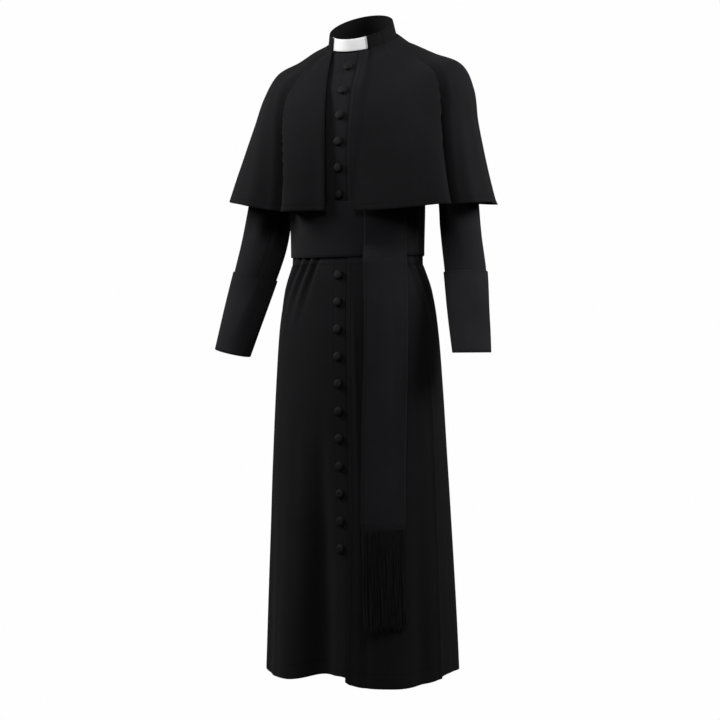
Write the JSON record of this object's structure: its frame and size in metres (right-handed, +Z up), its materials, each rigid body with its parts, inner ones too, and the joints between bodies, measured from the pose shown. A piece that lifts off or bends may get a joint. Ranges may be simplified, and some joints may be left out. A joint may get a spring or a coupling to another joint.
{
  "type": "cassock",
  "caption": "Ankle-length black cassock worn hollow, with shoulder cape, band fascia with one fringed tail, deep cuffs, stand collar with white tab and covered buttons.",
  "frame": {"origin": "the middle of the neck opening at the foot of the collar, where the wearer holds the garment up", "axes": "+Z up, the front faces -Y, the wearer's left is +X"},
  "size_m": [0.6345, 0.4061, 1.4655],
  "materials": {
    "black_cloth": "matte plain-woven wool, deep black",
    "fascia_cloth": "matte black cloth, faintly blue",
    "button_cloth": "black cloth stretched over a domed mould",
    "white_tab": "smooth stiff white collar linen"
  },
  "bodies": {
    "root": {"bodice_front_right": "black_cloth", "bodice_front_left": "black_cloth", "bodice_back_left": "black_cloth", "bodice_back_right": "black_cloth", "skirt_front_right": "black_cloth", "skirt_front_left": "black_cloth", "skirt_back_left": "black_cloth", "skirt_back_right": "black_cloth", "sleeve_top_left": "black_cloth", "sleeve_under_left": "black_cloth", "sleeve_top_right": "black_cloth", "sleeve_under_right": "black_cloth", "cuff_left": "black_cloth", "cuff_right": "black_cloth", "cape_left": "black_cloth", "cape_right": "black_cloth", "collar": "black_cloth", "fascia_band": "fascia_cloth", "fascia_tail": "fascia_cloth", "fascia_fringe": "fascia_cloth", "collar_tab": "white_tab", "button_01": "button_cloth", "button_02": "button_cloth", "button_03": "button_cloth", "button_04": "button_cloth", "button_05": "button_cloth", "button_06": "button_cloth", "button_07": "button_cloth", "button_08": "button_cloth", "button_09": "button_cloth", "button_10": "button_cloth", "button_11": "button_cloth", "button_12": "button_cloth", "button_13": "button_cloth", "button_14": "button_cloth", "button_15": "button_cloth", "button_16": "button_cloth", "button_17": "button_cloth"}
  },
  "joints": []
}
